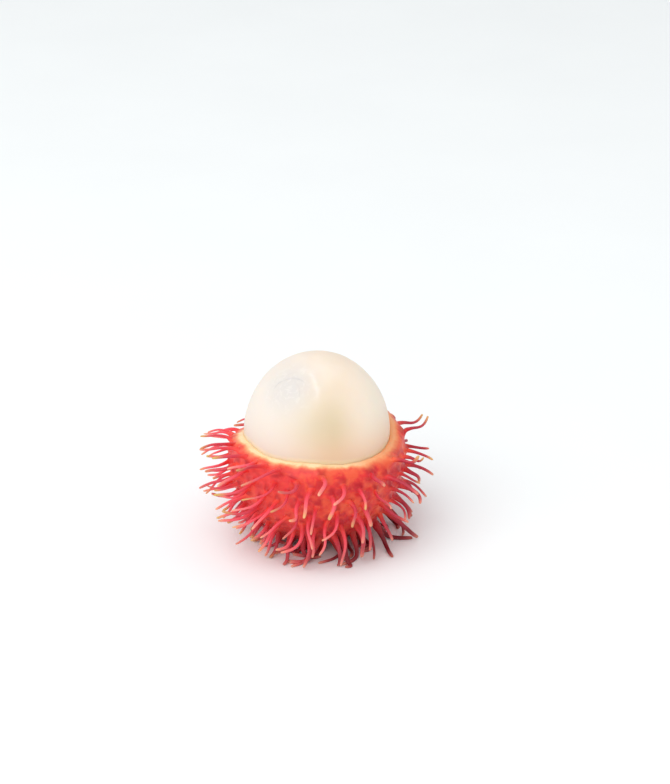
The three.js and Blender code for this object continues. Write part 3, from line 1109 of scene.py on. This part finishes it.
edge_wander = peel.span(peel.noise(2.4), 0.25, 0.75, -0.35, 0.35)
edge_distance = peel.maths("ADD", peel.note("from_rim"), edge_wander)
edge_distance = peel.maths("ADD", edge_distance, FADE_INSIDE)
edge_share = peel.maths("DIVIDE", edge_distance, RIM_FADE)
sunny_side = peel.span(peel.across, 4 * MM, 15 * MM, at_end=0.75)
edge_colour = peel.coats(peel.ramp(edge_share, *EDGE_COLOURS), (sunny_side, SUNNY_EDGE))
skin_colour = peel.mix(peel.span(edge_share, 0.3, 1.0), edge_colour, skin_colour)
print("nodes so far:", len(peel.tree.nodes))

# %% Colour the hairs from root to tip
HAIR_COLOURS = (
    (0.0, paint(220, 44, 56)),
    (0.3, paint(236, 62, 80)),
    (0.65, paint(250, 98, 112)),
    (0.88, paint(250, 132, 128)),
    (1.0, paint(246, 172, 144)),
)
DARK_HAIR = paint(170, 22, 54)
SHADY_HAIR = paint(154, 20, 48)
LOW_HAIR_SHADE = paint(108, 14, 24)
GREEN_TIP = paint(206, 180, 92)

place_along = peel.note("along")
hair_colour = peel.ramp(place_along, *HAIR_COLOURS)
by_chance = peel.span(peel.note("hair"), 0.2, 1.0, at_end=0.55)
# On the right and low down the hairs get painted shade, but less so towards their tips.
on_the_right = peel.times(
    peel.span(peel.across, 7 * MM, 19 * MM, at_end=0.7),
    peel.span(place_along, 1.0, 0.7, 0.15, 1.0),
)
shade_near_table = peel.times(
    peel.span(peel.across, -10 * MM, 6 * MM, 0.3, 0.85),
    peel.span(peel.height, 9 * MM, 1 * MM),
    peel.span(place_along, 1.0, 0.7, 0.45, 1.0),
)
at_green_tips = peel.times(peel.note("green_tip"), peel.span(place_along, 0.7, 1.0))
hair_colour = peel.coats(
    hair_colour,
    (by_chance, DARK_HAIR),
    (on_the_right, SHADY_HAIR),
    (shade_near_table, LOW_HAIR_SHADE),
    (at_green_tips, GREEN_TIP),
)
rind_colour = peel.mix(peel.span(place_along, 0.1, 0.5), skin_colour, hair_colour)
print("nodes so far:", len(peel.tree.nodes))

# %% Give it a satin, slightly see-through surface
RED_GLOW = (1.0, 0.3, 0.2)  # red light goes furthest into the skin

pores = peel.bump(peel.noise(0.32), 0.04, 0.4)
pores = peel.bump(peel.noise(1.3, detail=2), 0.16, 0.6, under=pores)
peel.surface({
    "Base Color": rind_colour,
    "Roughness": peel.span(peel.noise(1.6), 0.3, 0.7, 0.36, 0.5),
    "Specular IOR Level": 0.35,
    "Subsurface Weight": 0.25,
    "Subsurface Radius": RED_GLOW,
    "Subsurface Scale": 1.1 * MM,
    "Normal": pores,
})
rind.data.materials.append(peel.material)
print("nodes in the rind's finish:", len(peel.tree.nodes))

# %% [markdown]
# ### The aril's finish
#
# The flesh is like wet, milky jelly: light goes in, scatters and comes out again a few
# millimetres away. Plain white paint would look like plaster, so most of this finish is
# Subsurface. The seed's shadow through the flesh is painted as a faint beige tone in the
# middle. The right side is painted lighter and warmer than the left, as a glow of light, and
# the rind's red light on the flesh is painted as warmth low down and just above the rim. The
# dried patch is greyer, with white flecks, creases painted dark as shade and a fold painted
# pale as a highlight.

# %% Colour the flesh
CLOUD = paint(239, 222, 203)
MILK = paint(243, 229, 213)
SEED_SHADOW = paint(214, 196, 160)
LIT_RIGHT_FLESH = paint(255, 237, 220)
RED_BOUNCE_FLESH = paint(240, 198, 162)
COOL_FLESH = paint(229, 222, 214)
LIP_GLOW = paint(255, 230, 188)
SEED_SHOWS_AT = Vector((1.8, -16, 32)) * MM

flesh = Recipe("milky_aril")
flesh_colour = flesh.ramp(flesh.noise(9, detail=2, twist=0.3), (0.35, CLOUD), (0.65, MILK))


def by_height(start, end, most=1.0):
    """A share that grows between two heights, in mm from the egg's widest ring."""
    start, end = ARIL_WAIST + start * MM, ARIL_WAIST + end * MM
    return flesh.span(flesh.height, start, end, at_end=most)


seed_shadow_spot = flesh.span(flesh.from_point(SEED_SHOWS_AT), 17 * MM, 1 * MM, at_end=0.8)
seed_shadow_band = flesh.times(by_height(1, 8, most=0.12), by_height(16, 9))
flesh_colour = flesh.coats(
    flesh_colour,
    # painted shade: the seed's shadow through the flesh, in its middle
    (flesh.maths("MAXIMUM", seed_shadow_spot, seed_shadow_band), SEED_SHADOW),
    # painted light: the right side glows lighter and warmer
    (flesh.span(flesh.across, 3 * MM, 14 * MM, at_end=0.95), LIT_RIGHT_FLESH),
    # painted light and shade: warmer and darker low down, from the rind's red light and less
    # lamp light
    (by_height(10, -1, most=0.6), RED_BOUNCE_FLESH),
    (flesh.span(flesh.across, 5 * MM, -12 * MM, at_end=0.75), COOL_FLESH),
    # painted light: a pale warm glow on the flesh just above the rim
    (flesh.span(flesh.note("above_lip"), 1.4, 0.0, at_end=0.8), LIP_GLOW),
)
print("nodes so far:", len(flesh.tree.nodes))

# %% Grey the dried patch
PATCH_AT = Vector((-6.4 * MM, -8 * MM, ARIL_WAIST + 15.2 * MM))
DRIED = paint(214, 211, 209)
WHITE_FLECK = paint(250, 246, 240)
CREASE_SHADE = paint(174, 172, 178)
FOLD_HIGHLIGHT = paint(250, 244, 238)

patch_share = flesh.span(flesh.from_point(PATCH_AT), 10 * MM, 1 * MM, at_end=0.8)
white_flecks = flesh.span(flesh.noise(1.7, rough=0.6, twist=1.2), 0.48, 0.7, at_end=0.3)
flesh_colour = flesh.coats(
    flesh_colour,
    (patch_share, DRIED),
    (flesh.times(patch_share, white_flecks), WHITE_FLECK),
    # painted shade in the creases and a painted highlight along the fold
    (flesh.times(flesh.note("crease"), 0.34), CREASE_SHADE),
    (flesh.times(flesh.note("fold"), 0.35), FOLD_HIGHLIGHT),
)
print("nodes so far:", len(flesh.tree.nodes))

# %% Make it milky and moist
MILKY_GLOW = (1.0, 0.75, 0.5)

fibres = flesh.noise(0.9, stretch=(1, 1, 0.25))
flesh.surface({
    "Base Color": flesh_colour,
    "Roughness": flesh.span(flesh.noise(3.5), 0.3, 0.7, 0.42, 0.55),
    "Specular IOR Level": 0.22,
    "Subsurface Weight": 0.6,
    "Subsurface Radius": MILKY_GLOW,
    "Subsurface Scale": 4.5 * MM,
    "Normal": flesh.bump(fibres, 0.01, 0.1),
})
aril.data.materials.append(flesh.material)
print("nodes in the aril's finish:", len(flesh.tree.nodes))

# %% [markdown]
# ## The studio
#
# A plain white table, a white surround and one large soft lamp from the upper left give
# the soft, bright light of a product picture. The surround fills the shadows, and the
# lamp's size decides how soft the shadow on the table is.

# %% Lay the table
TABLE_SIZE = 40  # metres, so wide that its far edge melts into the surround
COOL_WHITES = ((0.3, paint(247, 251, 252)), (0.7, paint(249, 253, 254)))

table_bm = bmesh.new()
bmesh.ops.create_grid(table_bm, x_segments=1, y_segments=1, size=TABLE_SIZE / 2)
table = finished_piece("table_top", table_bm)
table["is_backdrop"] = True
table_finish = Recipe("white_table")
table_finish.surface({
    "Base Color": table_finish.ramp(table_finish.noise(60), *COOL_WHITES),
    "Roughness": 0.6,
    "Specular IOR Level": 0.2,
})
table.data.materials.append(table_finish.material)
print("table's width, in metres:", TABLE_SIZE)

# %% Hang the lamps
SURROUND = {"Color": (1, 1, 1, 1), "Strength": 0.72}
KEY_POWER = 9.6  # watts
KEY_SIZE = 1.3  # metres
KEY_AT = Vector((-0.45, -0.55, 0.98))
KEY_AIM = Vector((0, 0, 0.02))

surround = bpy.data.worlds.new("white_surround")
surround.use_nodes = True
for name, value in SURROUND.items():
    surround.node_tree.nodes["Background"].inputs[name].default_value = value
bpy.context.scene.world = surround

key_data = bpy.data.lights.new("key_lamp", "AREA")
key_data.shape = "SQUARE"
key_data.size = KEY_SIZE
key_data.energy = KEY_POWER
key = bpy.data.objects.new("key_lamp", key_data)
key.location = KEY_AT
key.rotation_euler = (KEY_AIM - KEY_AT).to_track_quat("-Z", "Y").to_euler()
bpy.context.scene.collection.objects.link(key)
bpy.context.scene.view_settings.view_transform = "Standard"
show_mm("key lamp's distance", KEY_AT.length)

# %% [markdown]
# ## The size of the pieces
#
# The finished pieces are meant to stay inside the box of the solids they stand for, so both
# boxes are printed.

# %% Print both boxes
visual_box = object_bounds()
boxes = {
    "cad": [list(corner) for corner in cad_box],
    "visual": [list(corner) for corner in visual_box],
}
for name, (low, high) in boxes.items():
    show_mm(name + " from and to", *low, *high)
